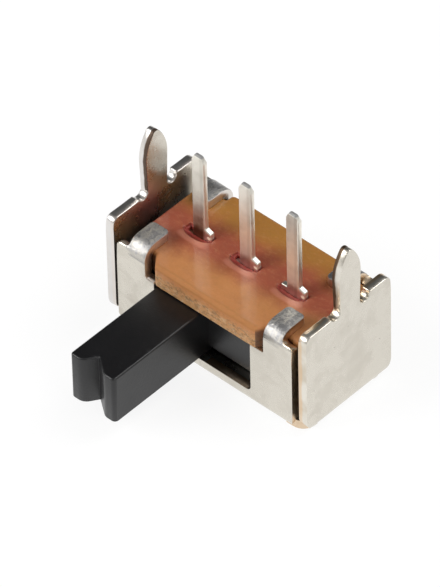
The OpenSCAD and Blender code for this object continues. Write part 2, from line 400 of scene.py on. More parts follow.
class Wire:
    """One output of a material's nodes. Arithmetic on values adds Math nodes."""

    def __init__(self, finish, socket):
        self.finish, self.socket = finish, socket

    def _math(self, operation, first, second):
        return self.finish.node("ShaderNodeMath", {"operation": operation}, {0: first, 1: second})

    def __add__(self, other):
        return self._math("ADD", self, other)

    def __sub__(self, other):
        return self._math("SUBTRACT", self, other)

    def __rsub__(self, other):
        return self._math("SUBTRACT", other, self)

    def __mul__(self, other):
        return self._math("MULTIPLY", self, other)

    def __truediv__(self, other):
        return self._math("DIVIDE", self, other)

    def __pow__(self, other):
        return self._math("POWER", self, other)

    def __lt__(self, other):
        return self._math("LESS_THAN", self, other)

    def __gt__(self, other):
        return self._math("GREATER_THAN", self, other)

    def __abs__(self):
        return self.finish.node("ShaderNodeMath", {"operation": "ABSOLUTE"}, {0: self})

    __radd__, __rmul__ = __add__, __mul__


def pick(sockets, key):
    """A socket by its number, or else by its identifier or name."""
    if isinstance(key, int):
        return sockets[key]
    return next(s for s in sockets if key in (s.identifier, s.name))


def set_stops(ramp, interpolation, stops):
    """Gives a colour ramp its (place, level) stops in grey."""
    ramp.interpolation = interpolation
    while len(ramp.elements) < len(stops):
        ramp.elements.new(1.0)
    for element, (place, level) in zip(ramp.elements, stops):
        element.position, element.color = place, (level, level, level, 1)


class Finish:
    """The nodes of a new material, or of a new world, put together one by one."""

    def __init__(self, name, kind="materials"):
        self.owner = getattr(bpy.data, kind).new(name)
        self.owner.use_nodes = True
        self.tree = self.owner.node_tree
        self.tree.nodes.clear()

    def node(self, kind, settings=None, sockets=None, output=0):
        """A node with its settings, then the values or links of its sockets, and one of its outputs."""
        made = self.tree.nodes.new(kind)
        for key, value in (settings or {}).items():
            if key == "stops":
                set_stops(made.color_ramp, *value)
            else:
                setattr(made, key, value)
        for key, value in (sockets or {}).items():
            self.connect(made, key, value)
        return Wire(self, pick(made.outputs, output))

    def connect(self, made, key, value):
        socket = pick(made.inputs, key)
        if isinstance(value, Wire):
            self.tree.links.new(value.socket, socket)
        else:
            socket.default_value = value

    def place(self, stretch=(1, 1, 1)):
        """The piece's own coordinates in millimetres, each one multiplied by its stretch."""
        own = self.node("ShaderNodeTexCoord", output="Object")
        factors = [mm(s) for s in stretch]
        return self.node("ShaderNodeVectorMath", {"operation": "MULTIPLY"}, {0: own, 1: factors})

    def axis(self, place, letter):
        return self.node("ShaderNodeSeparateXYZ", None, {0: place}, output=letter)

    def noise(self, place, scale, detail=3.0, roughness=0.5, distortion=0.0):
        sockets = {
            "Vector": place, "Scale": scale, "Detail": detail,
            "Roughness": roughness, "Distortion": distortion,
        }
        return self.node("ShaderNodeTexNoise", None, sockets, output="Fac")

    def ramp(self, value, *stops, smooth=False):
        """The level at a value, between (value, level) stops."""
        interpolation = "EASE" if smooth else "LINEAR"
        return self.node("ShaderNodeValToRGB", {"stops": (interpolation, stops)}, {"Fac": value})

    def mix(self, amount, first, second):
        """The first colour, or the second where the amount is 1."""
        colours = [c if isinstance(c, Wire) else (*c, 1) for c in (first, second)]
        sockets = {"Factor_Float": amount, "A_Color": colours[0], "B_Color": colours[1]}
        return self.node("ShaderNodeMix", {"data_type": "RGBA"}, sockets, output="Result_Color")

    def bump(self, height, strength, distance):
        sockets = {"Height": height, "Strength": strength, "Distance": distance}
        return self.node("ShaderNodeBump", None, sockets, "Normal")

    def surface(self, shader, output="ShaderNodeOutputMaterial"):
        made = self.tree.nodes.new(output)
        self.connect(made, "Surface", shader)

    def done(self, sockets):
        """Closes the material with a Principled shader and returns it."""
        self.surface(self.node("ShaderNodeBsdfPrincipled", None, sockets))
        return self.owner


def tin_finish(sizes, crimp, tab_inner, tab_outer):
    """Satin tin plate, mottled and finely pitted, with tabs that the press marked above the crimp, their tops
    darkened with painted dark reflection, and painted shade under each bend.
    """
    look = Finish("tin_plate")
    place = look.place()
    x, z = look.axis(place, "X"), look.axis(place, "Z")
    across, left, above = abs(x), x < 0, (z - crimp) * 2

    # what lies all over the plate
    mottle = look.noise(place, 1.1, detail=5.0, roughness=0.62, distortion=0.4)
    patches = look.ramp(mottle, (0.4, 0.0), (0.68, 1.0), smooth=True)
    grain = look.noise(look.place((9, 9, 2.2)), 1.0, roughness=0.7)
    pits = look.ramp(look.noise(place, 4.5, detail=2.0, roughness=0.55), (0.75, 0.0), (0.8, 1.0))
    ripple = look.noise(place, 2.6, detail=4.0, roughness=0.6)
    swell = look.noise(place, 0.45)

    # the tabs' bends, their press-marked upper faces darkened with painted dark reflection, and painted shade
    # in the dip under a bend
    dents = look.noise(place, 6.0, detail=4.0, roughness=0.65, distortion=1.2)
    streaks = look.ramp(look.noise(look.place((9, 2.5, 2.5)), 1.0), (0.4, 0.0), (0.62, 1.0))
    bent = look.ramp(above + 0.5, (0.2, 0.0), (0.5, 1.0), smooth=True) * (across < tab_outer + 0.085)
    pressed_and_shaded = look.ramp(above, (0.38, 0.0), (0.48, 1.0), smooth=True) * bent
    marked = look.ramp(dents + left * 0.06, (0.46, 1.0), (0.56, 0.15))
    # foot and outward shape the painted shade under a bend
    foot = look.ramp(above + 1, (0.38, 0.0), (0.56, 1.0), (0.7, 0.6), (0.95, 0.0), smooth=True)
    outward = look.ramp(across - (tab_inner + 0.09), (0.5, 1.0), (0.68, 0.0))
    hollow_shade = foot * (across > tab_inner - 0.11) * outward

    colour = look.mix(patches * (left * 0.35 + 0.45), sizes.tin, sizes.dull)
    colour = look.mix(bent * (streaks * 0.45 + 0.3), colour, sizes.bend)
    # press marks on the tabs' tops, made darker as painted dark reflection
    colour = look.mix(pressed_and_shaded * marked, colour, sizes.pressed_and_shaded)
    # painted shade at the foot of each tab's bend, stronger on the left
    colour = look.mix(hollow_shade * (left * 0.3 + 0.35), colour, sizes.pressed_and_shaded)
    colour = look.mix(pits * 0.7, colour, sizes.speck)
    height = grain * 0.35 + ripple + swell * 0.8 - pits * 0.6 + dents * bent * 6.0
    return look.done({
        "Base Color": colour,
        "Metallic": 1.0,
        "Roughness": patches * 0.1 + grain * 0.1 + pits * 0.3 + bent * 0.2 + (sizes.roughness - 0.04),
        "Normal": look.bump(height, 0.18, 0.03e-3),
    })


def sheared_finish(sizes, outer, shoulder):
    """The sheet's sheared edges: plated over and duller, torn on their inner side, and near-black brown on
    the prongs' inner side as painted shade.
    """
    bright, worn, cool = (0.8, 0.765, 0.69), (0.57, 0.5, 0.39), (0.75, 0.74, 0.75)
    bronzed, brown = (0.75, 0.48, 0.24), (0.07, 0.035, 0.016)
    look = Finish("tin_plate_edge")
    place = look.place()
    x, z = look.axis(place, "X"), look.axis(place, "Z")
    marks = look.noise(look.place((5, 5, 5)), 1.0, detail=1.0, roughness=0.6)
    cloud = look.noise(place, 1.6)

    # how deep in the sheet, from 0 on its outer side to 1 on its inner side
    depth = (outer - abs(x)) / mm(sizes.sheet)
    torn = look.ramp(depth + (cloud - 0.5) * 0.3, (0.52, 0.0), (0.66, 1.0), smooth=True)
    torn_prong_shade = torn * look.ramp(z - shoulder, (0.0, 0.0), (0.15, 1.0))

    colour = look.mix(look.ramp(cloud, (0.4, 0.0), (0.7, 0.7)), bright, worn)
    colour = look.mix((x < 0) * 0.6, colour, cool)
    colour = look.mix(torn * ((x > 0) * 0.4 + 0.1), colour, bronzed)
    # painted shade: near-black brown over the torn inner side of the prongs
    colour = look.mix(torn_prong_shade * 0.92, colour, brown)
    return look.done({
        "Base Color": colour,
        "Metallic": 1.0,
        "Roughness": marks * 0.1 + torn_prong_shade * 0.2 + (sizes.roughness + 0.02),
        "Normal": look.bump(marks * 0.5 + cloud, 0.06, 0.03e-3),
    })


def laminate_finish(sizes, low, high, row, pitch):
    """Resin-bonded paper: tan in front, redder along the row of pins, ochre behind.

    low and high are the board's corners, row is the pins' y and pitch their spacing.
    """
    fibre, shade, edge_shade = (0.7, 0.33, 0.15), (0.3, 0.1, 0.04), (0.36, 0.16, 0.05)
    paper, fleck = (0.66, 0.5, 0.33), (0.13, 0.08, 0.035)
    neck_shadow, lip_highlight = (0.07, 0.022, 0.012), (0.72, 0.3, 0.2)
    look = Finish("laminate")
    place = look.place()
    x, y, z = (look.axis(place, letter) for letter in "XYZ")
    down = high.z - z
    cloud = look.noise(place, 0.7, detail=5.0, roughness=0.6, distortion=0.5)
    fibres = look.noise(look.place((5, 9, 9)), 1.0, detail=4.0, roughness=0.7, distortion=0.6)
    flecks = look.noise(look.place((6, 6, 10)), 1.0, detail=4.0, roughness=0.7)
    flecks = look.ramp(flecks, (0.5, 0.0), (0.62, 1.0))
    pale = look.ramp(look.noise(look.place((5, 5, 8)), 1.3, roughness=0.6), (0.5, 0.0), (0.64, 1.0))

    # the colours that drift from front to back
    drift = y + (cloud - 0.5) * 1.1 + x * -0.08
    front = look.ramp(drift * -0.4 + 0.1, (0.22, 0.0), (0.62, 1.0), smooth=True)
    behind = look.ramp(drift * 0.4, (0.12, 0.0), (0.55, 1.0), smooth=True)
    colour = look.mix(front, sizes.middle, sizes.front)
    colour = look.mix(behind, colour, sizes.behind)
    colour = look.mix(look.ramp(fibres, (0.5, 0.0), (0.75, 0.25)), colour, fibre)
    colour = look.mix(look.ramp(cloud, (0.5, 0.0), (0.7, 0.3)), colour, shade)

    # painted shade along the front's upper edge, then the sawn sides with pale paper and dark flecks
    depth = down / (high.z - low.z)
    turned = look.ramp(down + y - low.y, (0.1, 1.0), (0.22, 0.0), smooth=True)
    sawn = look.ramp(depth + (cloud - 0.5) * 0.4, (0.16, 0.0), (0.72, 1.0), smooth=True)
    specked = look.ramp(depth + (fibres - 0.5) * 0.3, (0.2, 0.0), (0.6, 1.0), (0.75, 0.5), (1.0, 0.9))
    # painted shade on the rounded upper edge, so that it shows no highlight
    colour = look.mix(turned * 0.4, colour, edge_shade)
    colour = look.mix(sawn * 0.75, colour, sizes.edge)
    colour = look.mix(pale * sawn * 0.5, colour, paper)
    colour = look.mix(flecks * (specked * 0.65 + 0.06), colour, fleck)

    # painted shadow on the necks' sides in the gaps beside the tabs
    reach = abs(x)
    neck_shadow_fade = look.ramp(down * 4, (0.15, 0.0), (0.8, 1.0), smooth=True)
    neck = (reach > 2.2) * (reach < 3.4) * neck_shadow_fade
    colour = look.mix(neck * 0.75, colour, neck_shadow)

    # the slots, and a painted pink highlight on the lips of the dishes in front of them
    beside = look.node("ShaderNodeMath", {"operation": "PINGPONG"}, {0: x, 1: pitch / 2})
    lip = (y - row + 0.42) ** 2 * 12 + beside ** 4 * 2.2
    lip = look.ramp(lip, (0.0, 1.0), (0.5, 0.0), smooth=True)
    inside = (abs(y - row) < 0.5) * look.ramp(down * 8, (0.05, 0.0), (0.6, 1.0), smooth=True)
    # painted highlight on the dishes' lips
    colour = look.mix(lip * 0.45, colour, lip_highlight)
    colour = look.mix(inside * 0.8, colour, sizes.deep)
    height = fibres * 0.5 + cloud * 1.2 + flecks * (specked * -1.5 - 0.3) + lip * 1.5
    return look.done({
        "Base Color": colour,
        "Roughness": fibres * 0.16 + sawn * 0.2 + turned * 0.3 + 0.42,
        "Specular IOR Level": 0.35,
        "Coat Weight": look.ramp(down, (0.0, 0.36), (0.015, 0.0)),
        "Coat Roughness": 0.14,
        "Subsurface Weight": 0.12,
        "Subsurface Radius": (0.4e-3, 0.18e-3, 0.08e-3),
        "Subsurface Scale": 1.0,
        "Normal": look.bump(height, 0.35, 0.04e-3),
    })


def plating_finish(sizes, name, pitch, foot, tall, stained, worn=0.0):
    """Bright plating with fine lengthwise draw lines, a grey cap and a painted glint beside the ear.

    foot is the board's top and tall the pins' height over it. stained and worn are shares.
    """
    dulled, seam_grey, brown = (0.5, 0.46, 0.4), (0.5, 0.48, 0.42), (0.19, 0.1, 0.035)
    glint, cap_grey = (1.0, 0.8, 0.6), (0.3, 0.3, 0.31)
    look = Finish(name)
    place = look.place()
    x = look.axis(place, "X")
    nearest = look.node("ShaderNodeMath", {"operation": "ROUND"}, {0: x / pitch})
    aside = x - nearest * pitch
    height = look.axis(place, "Z") - foot
    lines = look.noise(look.place((16, 16, 1.2)), 1.0, roughness=0.6)
    haze = look.noise(place, 1.6, detail=4.0)
    seam = (aside - 0.13 + (lines - 0.5) * 0.06) ** 2 * 120
    seam = look.ramp(seam, (0.0, 1.0), (0.8, 0.0), smooth=True)
    stain = look.ramp(height + (haze - 0.5) * 1.6, (0.2, 1.0), (1.0, 0.0), smooth=True)
    stain = stain * look.ramp(aside, (0.16, 1.0), (0.26, 0.0))
    # painted glint: a bright, less metallic patch beside the ear
    resin_glint = (aside - 0.42) ** 2 * 60 + (height - 0.05) ** 2 * 90
    resin_glint = look.ramp(resin_glint, (0.1, 1.0), (0.6, 0.0), smooth=True)
    cap = look.ramp(height - tall + 1, (0.91, 0.0), (0.95, 1.0))
    colour = look.mix(look.ramp(haze, (0.45, worn), (0.75, 0.5)), sizes.silver, dulled)
    colour = look.mix(seam * 0.3, colour, seam_grey)
    colour = look.mix(stain * stained, colour, brown)
    colour = look.mix(resin_glint, colour, glint)
    colour = look.mix(cap * 0.8, colour, cap_grey)
    return look.done({
        "Base Color": colour,
        "Metallic": 1 - resin_glint * 0.9,
        "Roughness": lines * 0.12 + haze * 0.14 + cap * 0.3 + (0.22 + worn * 0.4),
        "Normal": look.bump(lines, 0.2, 0.02e-3),
    })


def moulding_finish(sizes):
    """Black moulded plastic with a fine grain and faint scuffs."""
    scuff_grey = (0.06, 0.06, 0.065)
    look = Finish("black_plastic")
    place = look.place()
    grain = look.noise(place, 14.0, detail=2.0)
    cloud = look.noise(place, 0.9, detail=4.0)
    scuffs = look.noise(look.place((2, 7, 3)), 1.0, detail=5.0, roughness=0.7)
    scuffs = look.ramp(scuffs, (0.62, 0.0), (0.75, 1.0))
    return look.done({
        "Base Color": look.mix(scuffs * 0.25, sizes.black, scuff_grey),
        "Roughness": cloud * 0.1 + grain * 0.08 + scuffs * 0.12 + (sizes.roughness - 0.13),
        "Specular IOR Level": 0.55,
        "Normal": look.bump(grain + cloud * 2.0, 0.18, 0.02e-3),
    })


def bronze_finish():
    """Sprung bronze strip with rolling marks and light tarnish."""
    bronze, tarnished = (0.62, 0.4, 0.18), (0.36, 0.2, 0.09)
    look = Finish("clip_bronze")
    lines = look.noise(look.place((1, 12, 12)), 1.0)
    tarnish = look.ramp(look.noise(look.place(), 1.8, detail=5.0), (0.45, 0.0), (0.8, 1.0))
    return look.done({
        "Base Color": look.mix(tarnish * 0.6, bronze, tarnished),
        "Metallic": 1.0,
        "Roughness": tarnish * 0.2 + lines * 0.12 + 0.2,
        "Normal": look.bump(lines, 0.2, 0.02e-3),
    })


# -------------------------------- folded sheet


WALL_HALF = 3.73  # half the length of the front and back walls
TAB_INNER, TAB_OUTER = 2.51, 3.265  # a tab's two sides, from the switch's middle
WALL_CORNER, END_CORNER = 0.4, 0.65  # the lower corners of the side walls and of the end walls
SHOULDER, TAB_CORNER = 0.14, 0.16  # the upper corners of the side walls and of the tabs
SOFT_CORNER, CRISP_CORNER = 0.18, 0.06  # the other punched corners


def folded(segments):
    """Maps a point (across, along, depth) of the flat sheet to (across, along the base, height).

    segments are (length, fold radius) pairs from the middle of the base outwards. The radius is 0
    where the sheet stays flat.
    """

    def place(across, along, depth):
        left, heading, at = abs(along), 0.0, Vector((0.0, 0.0))

        def inward():
            return Vector((-math.sin(heading), math.cos(heading)))

        for length, radius in segments:
            step = min(left, length)
            if radius:
                centre = at + inward() * radius
                heading += step / radius
                at = centre - inward() * radius
            else:
                at = at + Vector((math.cos(heading), math.sin(heading))) * step
            left -= step
            if left <= 0:
                break
        point = at + inward() * depth
        return across, math.copysign(point.x, along), point.y

    return place


def folded_sheet(outline, sheet, segments, turn):
    """A folded strip of sheet. outline is its flat pattern, and turn lays the strip from end to end."""
    facet = 0.062  # the length of one facet of a fold
    bm = slab(outline, 0.0, sheet, along_z, side_material=1)
    start = 0.0
    for length, radius in segments:
        steps = max(1, round(length / facet)) if radius else 1
        for k in range(steps):
            for side in (-1, 1):
                geometry = bm.verts[:] + bm.edges[:] + bm.faces[:]
                at = (0, side * (start + length * k / steps), 0)
                if start or k:
                    bmesh.ops.bisect_plane(bm, geom=geometry, plane_co=at, plane_no=(0, 1, 0), dist=1e-5)
        start += length
    place = folded(segments)
    for vert in bm.verts:
        across, along, height = place(*vert.co)
        vert.co = (along, across, height) if turn else (across, along, height)
    bmesh.ops.recalc_face_normals(bm, faces=bm.faces)
    return bm


def laid_flat(wall, base_half, fold, side=1):
    """The points (across, height) of a wall, laid flat beyond the base on one side."""
    points = []
    for across, height in wall:
        if height < fold:
            along = fold * math.acos(1 - max(height, 0.0) / fold)
        else:
            along = fold * QUARTER + height - fold
        points.append((across, side * (base_half - fold + along)))
    return points


def side_wall(top, ledge, tab_end, window=()):
    """The front or back wall with its two tabs. window is a part of the outline at the ledge."""
    right = (
        arc((WALL_HALF - WALL_CORNER, WALL_CORNER), WALL_CORNER, -90, 0)
        + arc((WALL_HALF - SHOULDER, top - SHOULDER), SHOULDER, 0, 90, 6)
        + arc((TAB_OUTER + TAB_CORNER, top + TAB_CORNER), TAB_CORNER, -90, -180, 6)
        + arc((TAB_OUTER - TAB_CORNER, tab_end - TAB_CORNER), TAB_CORNER, 0, 90, 8)
        + arc((TAB_INNER + SOFT_CORNER, tab_end - SOFT_CORNER), SOFT_CORNER, 90, 180, 8)
        + arc((TAB_INNER - CRISP_CORNER, ledge + CRISP_CORNER), CRISP_CORNER, 0, -90, 4)
    )
    left = [(-across, height) for across, height in reversed(right)]
    return right + list(window) + left


def lever_window(ledge):
    """The front wall's opening for the lever, from right to left under the ledge."""
    left, right, sill = -2.14, 1.94, 0.57
    return (
        arc((right + CRISP_CORNER, ledge - CRISP_CORNER), CRISP_CORNER, 90, 180, 4)
        + arc((right - SOFT_CORNER, sill + SOFT_CORNER), SOFT_CORNER, 0, -90, 6)
        + arc((left + SOFT_CORNER, sill + SOFT_CORNER), SOFT_CORNER, -90, -180, 6)
        + arc((left - CRISP_CORNER, ledge - CRISP_CORNER), CRISP_CORNER, 0, 90, 4)
    )


def end_wall(end, seat, high):
    """An end wall with its leaf-shaped prong between two notches, up to high."""
    corner, shoulder = END_CORNER, 0.25
    neck, bulge, tip, bulge_rise = 0.45, 0.5, 0.17, 1.3
    notch, back_depth, shift = 0.22, 0.27, 0.1

    # two large arcs run from the prong's widest place into its tip's own arc
    bulge_z, rise = seat + bulge_rise, high - seat - bulge_rise - tip
    sweep = (bulge * bulge + rise * rise - tip * tip) / (2 * (bulge - tip))
    join = math.degrees(math.asin(rise / (sweep - tip)))
    prong = (
        [(neck, seat + 0.02)]
        + arc((bulge - sweep, bulge_z), sweep, 0, join, 14)
        + arc((0.0, bulge_z + rise), tip, join, 180 - join, 8)
        + arc((sweep - bulge, bulge_z), sweep, 180 - join, 180, 14)
        + [(-neck, seat + 0.02)]
    )
    return (
        arc((end - corner, corner), corner, -90, 0, 14)
        + arc((end - shoulder, seat - shoulder), shoulder, 0, 90, 8)
        + arc((shift + neck + 2 * notch + CRISP_CORNER, seat - CRISP_CORNER), CRISP_CORNER, 90, 180, 4)
        + arc((shift + neck + notch, seat - back_depth + notch), notch, 0, -180, 12)
        + [(y + shift, z) for y, z in prong]
        + arc((shift - neck - notch, seat + 0.1), notch, -27, -153, 8)
        + arc((-end + shoulder, seat - shoulder), shoulder, 90, 180, 8)
        + arc((-end + corner, corner), corner, 180, 270, 14)
    )


def base_corner(half_x, half_y, end):
    """One flat corner of the base, between two walls."""
    inset, radius = 0.16, 0.5
    return (
        [(WALL_HALF - WALL_CORNER, end - END_CORNER), (half_x - inset, end - END_CORNER)]
        + arc((half_x - inset - radius, half_y - inset - radius), radius, 0, 90, 8)
        + [(WALL_HALF - WALL_CORNER, half_y - inset)]
    )


# -------------------------------- pieces


class SWITCH_OT_sheet_frame(bpy.types.Operator):
    """Folds the tin-plated frame: base, end walls with prongs, front and back walls, four crimp tabs"""

    bl_idname = "switch.sheet_frame"
    bl_label = "Sheet frame"

    def execute(self, context):
        sizes = context.scene.switch_sheet
        half_x, half_y, high_z = node_box("frame")[1]
        board_low, board_high = node_box("terminal_board")
        sheet, fold, tab_fold = mm(sizes.sheet), mm(sizes.fold_radius), mm(sizes.tab_fold)

        shoulder_rise, tab_reach, end_inset, seat_rise = 0.02, 0.86, 0.1, 0.7
        long_enough = 9.0  # more than what is left of a strip after its last fold

        # one strip makes the front and back walls with their tabs
        top, ledge = board_high.z + shoulder_rise, board_low.z
        root = board_high.z + sheet - tab_fold
        tab_end = root + tab_fold * QUARTER + (half_y - tab_fold) - tab_reach
        front = laid_flat(side_wall(top, ledge, tab_end, lever_window(ledge)), half_y, fold, -1)
        back = laid_flat(side_wall(top, ledge, tab_end), half_y, fold)
        base_fold = [(half_y - fold, 0.0), (fold * QUARTER, fold)]
        tab_folds = [(root - fold, 0.0), (tab_fold * QUARTER, tab_fold), (long_enough, 0.0)]
        side_strip = folded_sheet(front + back[::-1], sheet, base_fold + tab_folds, False)

        # the other makes the end walls with their prongs
        end, seat = half_y - end_inset, board_high.z + seat_rise
        flat = laid_flat(end_wall(end, seat, high_z), half_x, fold)
        end_folds = [(half_x - fold, 0.0), (fold * QUARTER, fold), (long_enough, 0.0)]
        end_strip = folded_sheet(flat + [(y, -s) for y, s in reversed(flat)], sheet, end_folds, True)

        feet = []
        for x in (-1, 1):
            for y in (-1, 1):
                foot = [(x * u, y * v) for u, v in base_corner(half_x, half_y, end)]
                feet.append(slab(foot, 0.0, sheet, along_z, side_material=1))
        bm = cleaned(combine(side_strip, [end_strip, *feet], "UNION"))

        def clear_of_corners(at):
            """Off the base's flat corners, which meet the walls without a fold."""
            beside = abs(at.x) < WALL_HALF - WALL_CORNER - 0.01 or abs(at.y) < end - END_CORNER - 0.01
            return beside or at.z > END_CORNER + 0.01

        round_edges(bm, mm(sizes.edge_round), keep=clear_of_corners)
        plate = tin_finish(sizes, board_high.z, TAB_INNER, TAB_OUTER)
        edge = sheared_finish(sizes, half_x, seat)
        finish_piece(bm, "folded_frame", "housing", ["frame"], "tin_plate", plate, edge)
        return {"FINISHED"}


def slot_cutters(x, y, bottom, top):
    """What is cut away for one terminal: the slot, its flared rim and the dish in front of it."""
    half_long, half_wide, through = 0.51, 0.104, 0.5
    rim_half, rim_depth, rim_left, rim_right = 0.11, 0.1, 0.56, 0.55
    flare_back, flare_front, proud = 0.15, 0.22, 0.02
    slot = box_solid(
        (x - half_long, y - half_wide, bottom - through),
        (x + half_long, y + half_wide, top + through),
    )
    flare = [
        (y - rim_half, top - rim_depth), (y + rim_half, top - rim_depth),
        (y + flare_back, top + proud), (y - flare_front, top + proud),
    ]
    rim = slab(flare, x - rim_left, x + rim_right, along_x)
    dish = bmesh.new()
    bmesh.ops.create_uvsphere(dish, u_segments=32, v_segments=16, radius=1.0)
    centre, radii = (x - 0.06, y - 0.14, top + 0.05), (0.6, 0.24, 0.19, 1)
    dish.transform(Matrix.Translation(centre) @ Matrix.Diagonal(radii))
    return [slot, rim, dish]


class SWITCH_OT_board(bpy.types.Operator):
    """Cuts the laminate board with its slots and the dished places in front of them"""

    bl_idname = "switch.board"
    bl_label = "Terminal board"

    def execute(self, context):
        sizes = context.scene.switch_board
        low, high = node_box("terminal_board")
        pins = pin_row()

        # a wide middle between the tabs, its front corners drawn in, and a narrow neck at each end
        left, right, neck_front, neck_back = -2.43, 2.37, -1.64, 1.66
        slant_left, slant_right, front_step = 0.38, 0.16, 0.12
        soft, tight = 0.16, 0.05
        corners = [
            (left + slant_left, low.y, soft),
            (right - slant_right, low.y, soft),
            (right + front_step, neck_front, tight),
            (high.x, neck_front, soft),
            (high.x, neck_back, soft),
            (right, neck_back, tight),
            (right, high.y, soft),
            (left, high.y, soft),
            (left, neck_back, tight),
            (low.x, neck_back, soft),
            (low.x, neck_front, soft),
            (left, neck_front, tight),
        ]

        board = crowned(rounded(corners, 4), low.z, high.z, lambda u, v: mm(sizes.top_round))
        cutters = [cutter for x, y in pins for cutter in slot_cutters(x, y, low.z, high.z)]
        bm = round_edges(cleaned(combine(board, cutters, "DIFFERENCE")), 0.03)
        row, pitch = pins[-1][1], pins[-1][0] - pins[-2][0]
        finish = laminate_finish(sizes, low, high, row, pitch)
        finish_piece(bm, "laminate_board", "housing", ["terminal_board"], "laminate", finish)
        return {"FINISHED"}


class SWITCH_OT_terminals(bpy.types.Operator):
    """Stamps the three flat terminals with their ears, blades and tapered pins"""

    bl_idname = "switch.terminals"
    bl_label = "Terminals"

    def execute(self, context):
        sizes = context.scene.switch_pins
        board_low, board_high = node_box("terminal_board")
        foot = board_high.z
        pitch = node_box("terminal_middle")[0].x - node_box("terminal_left")[0].x
        for name in TERMINALS:
            low, high = node_box(name)
            x = (low.x + high.x) / 2
            stub = foot + (0.08 if name == "terminal_right" else -0.2)
            outline = self.outline(low.z, high.z, board_low.z, foot, stub, mm(sizes.pin_width) / 2)
            bm = slab([(x + u, v) for u, v in outline], low.y, high.y, along_y)
            self.thin_tip(bm, low.y, high.y, high.z)
            round_edges(bm, mm(sizes.edge_round), segments=3, limit=25, material=1)
            stained = 0.9 if name == "terminal_left" else 0.1
            face = plating_finish(sizes, name + "_plating", pitch, foot, high.z - foot, stained)
            edge = plating_finish(sizes, name + "_edge", pitch, foot, high.z - foot, stained, 0.2)
            finish_piece(bm, name + "_pin", "housing", [name], "pin_plating", face, edge)
        return {"FINISHED"}

    def outline(self, bottom, top, under, foot, stub, pin):
        """A terminal seen from the front. The low stub is on its left, the ear on its right."""
        blade, point, chamfer = 0.5, 0.333, 0.167
        flange, flange_low = 0.65, under - 0.18
        ear, ear_slope, taper = foot + 0.33, 0.1, 0.24
        return [
            (-point, bottom), (point, bottom), (blade, bottom + chamfer),
            (blade, flange_low), (flange, flange_low), (flange, under), (blade, under),
            (blade, ear - ear_slope), (pin, ear),
            (pin, top - taper), (pin / 2, top), (-pin / 2, top), (-pin, top - taper),
            (-pin, stub), (-blade, stub),
            (-blade, under), (-flange, under), (-flange, flange_low), (-blade, flange_low),
            (-blade, bottom + chamfer),
        ]

    def thin_tip(self, bm, front, back, top):
        """Narrows the pin's tip to half its thickness over the last stretch."""
        stretch, middle = 0.12, (front + back) / 2
        geometry = bm.verts[:] + bm.edges[:] + bm.faces[:]
        bmesh.ops.bisect_plane(bm, geom=geometry, plane_co=(0, 0, top - stretch), plane_no=(0, 0, 1))
        for vert in bm.verts:
            if vert.co.z > top - 0.01:
                vert.co.y = middle + (vert.co.y - middle) / 2


class SWITCH_OT_lever(bpy.types.Operator):
    """Moulds the slider with its long lever and ridged end"""

    bl_idname = "switch.lever"
    bl_label = "Slider and lever"

    def execute(self, context):
        sizes = context.scene.switch_lever
        low, high = node_box("slide_lever")
        keel, step, channel, channel_floor = 1.33, 0.54, 0.52, 1.07
        middle, pocket_half, pocket_floor = -1.0, 1.47, 0.81
        lever_x, half, lever_under = -1.1, 0.94, 0.7
        tip_blend, tip_length = 0.7, 1.0

        # the slider seen from its end: a stepped block with a channel for the clip
        ledge = low.z + step
        block = [
            (-keel, low.z), (keel, low.z), (keel, ledge), (high.y, ledge), (high.y, high.z),
            (channel, high.z), (channel, channel_floor), (-channel, channel_floor), (-channel, high.z),
            (-high.y, high.z), (-high.y, ledge), (-keel, ledge),
        ]
        slider = slab(block, low.x, high.x, along_x)
        pocket = box_solid(
            (middle - pocket_half, -channel, pocket_floor), (middle + pocket_half, channel, high.z + 1)
        )

        def rounding(u, v):
            """From the sides' radius to the tip's, over the last stretch of the lever."""
            near_tip = min(max((low.y + tip_length - v) / tip_blend, 0.0), 1.0)
            return mm(sizes.side_round) + mm(sizes.tip_round - sizes.side_round) * near_tip

        lever = crowned(self.outline(lever_x, half, low.y, -keel), lever_under, high.z, rounding, 6)
        moulding = combine(combine(slider, [pocket], "DIFFERENCE"), [lever], "UNION")

        def clear_of_join(at):
            """Off the slider's front where the lever leaves it."""
            return abs(at.y + high.y) > 0.01 or abs(at.x - lever_x) > half + 0.01

        bm = round_edges(cleaned(moulding), 0.03, keep=clear_of_join)
        finish_piece(bm, "moulded_slider", "slider", ["slide_lever"], "black_plastic", moulding_finish(sizes))
        return {"FINISHED"}

    def outline(self, x, half, tip, root):
        """The lever seen from above, with its end's two ridges and the groove between them."""
        return rounded([
            (x + half, root, 0), (x - half, root, 0), (x - half, tip + 1.2, 0), (x - half, tip + 0.6, 0),
            (x - half, tip, 0.12), (x - 0.44, tip, 0.4), (x - 0.13, tip + 0.46, 0.015),
            (x + 0.5, tip, 0.3), (x + half, tip, 0.16),
            (x + half, tip + 0.6, 0), (x + half, tip + 1.2, 0),
        ])


class SWITCH_OT_clip(bpy.types.Operator):
    """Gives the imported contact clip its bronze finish"""

    bl_idname = "switch.clip"
    bl_label = "Contact clip"

    def execute(self, context):
        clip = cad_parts["contact_clip"]
        clip.data.materials.clear()
        clip.data.materials.append(bronze_finish())
        return {"FINISHED"}


# -------------------------------- stage


